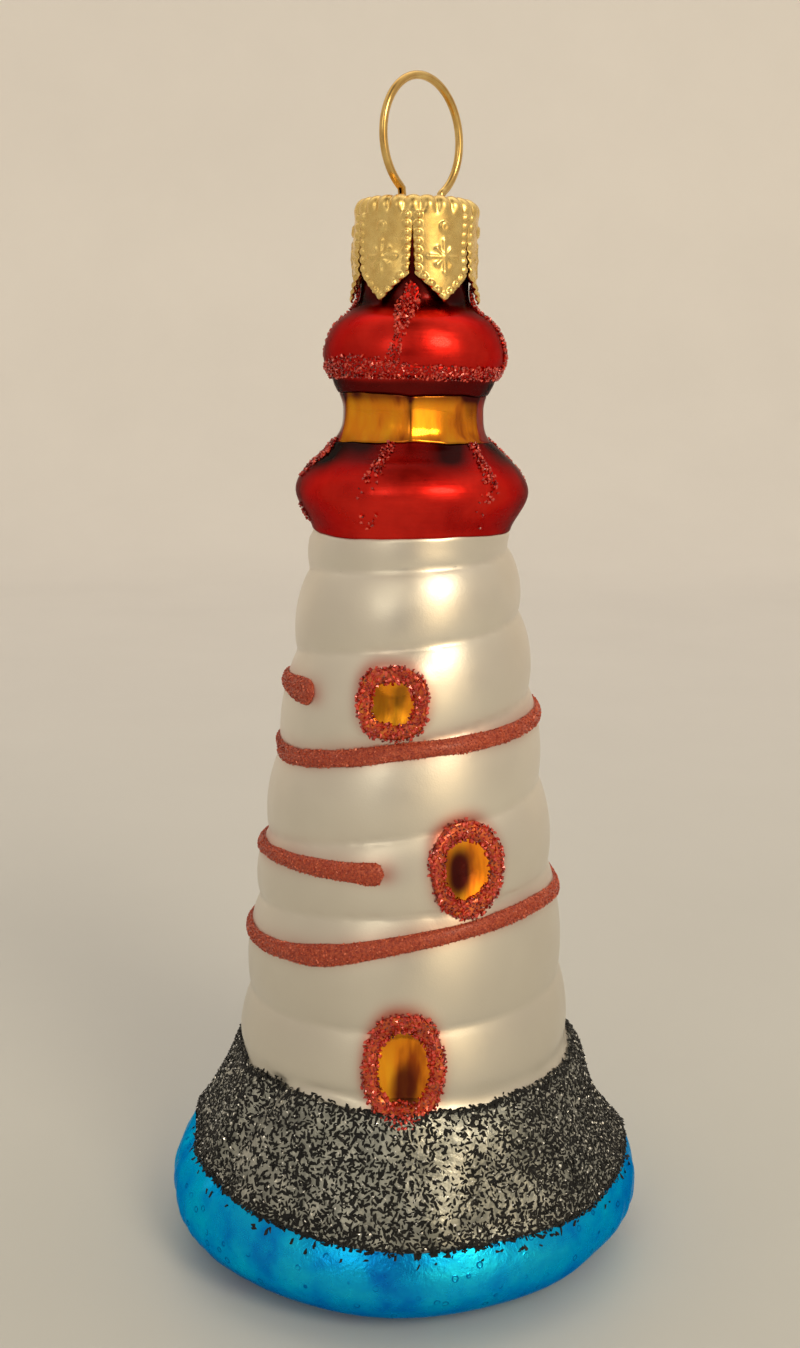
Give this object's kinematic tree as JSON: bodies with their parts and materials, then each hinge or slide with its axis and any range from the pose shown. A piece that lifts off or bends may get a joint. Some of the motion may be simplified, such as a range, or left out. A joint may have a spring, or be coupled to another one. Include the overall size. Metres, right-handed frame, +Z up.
{
  "type": "lighthouse ornament",
  "caption": "Mould-blown silvered glass lighthouse ornament with lacquer and glitter, crimped metal cap and wire hanger; stands on its foot or hangs.",
  "frame": {"origin": "centre of the flat ring the ornament stands on, at the height of that ring", "axes": "+Z up along the tower, -Y is the side with the door, +X is to the right seen from the door side"},
  "size_m": [0.0494, 0.0494, 0.1194],
  "materials": {
    "silvered_glass": "clear glass silvered on its inside, so it is opaque and bright",
    "blue_lacquer": "transparent blue lacquer over silvered glass, glossy metallic",
    "rock_flitter": "crushed glass and black flakes on silver, rough and sparkling",
    "pearl_lacquer": "satin pearl white lacquer over silvered glass",
    "red_lacquer": "transparent red lacquer over silvered glass, glossy metallic",
    "amber_lacquer": "transparent amber lacquer over silvered glass, glossy metallic",
    "red_glitter": "red glass glitter grains in glue",
    "gold_sheet": "thin stamped sheet, gold coloured, embossed",
    "gold_wire": "drawn wire, gold coloured"
  },
  "bodies": {
    "root": {"glass_body": "silvered_glass", "foot_coat": "blue_lacquer", "rock_coat": "rock_flitter", "tower_coat": "pearl_lacquer", "gallery_coat": "red_lacquer", "lantern_coat": "amber_lacquer", "dome_coat": "red_lacquer", "door_pane": "amber_lacquer", "door_rim": "red_glitter", "low_window_pane": "amber_lacquer", "low_window_rim": "red_glitter", "high_window_pane": "amber_lacquer", "high_window_rim": "red_glitter", "back_low_window_pane": "amber_lacquer", "back_low_window_rim": "red_glitter", "back_high_window_pane": "amber_lacquer", "back_high_window_rim": "red_glitter", "low_stripe": "red_glitter", "high_stripe": "red_glitter", "dome_hem": "red_glitter", "dome_rib_1": "red_glitter", "dome_rib_2": "red_glitter", "dome_rib_3": "red_glitter", "dome_rib_4": "red_glitter", "gallery_rib_1": "red_glitter", "gallery_rib_2": "red_glitter", "gallery_rib_3": "red_glitter", "gallery_rib_4": "red_glitter", "gallery_rib_5": "red_glitter", "gallery_rib_6": "red_glitter", "cap": "gold_sheet", "hanger": "gold_wire"}
  },
  "joints": []
}
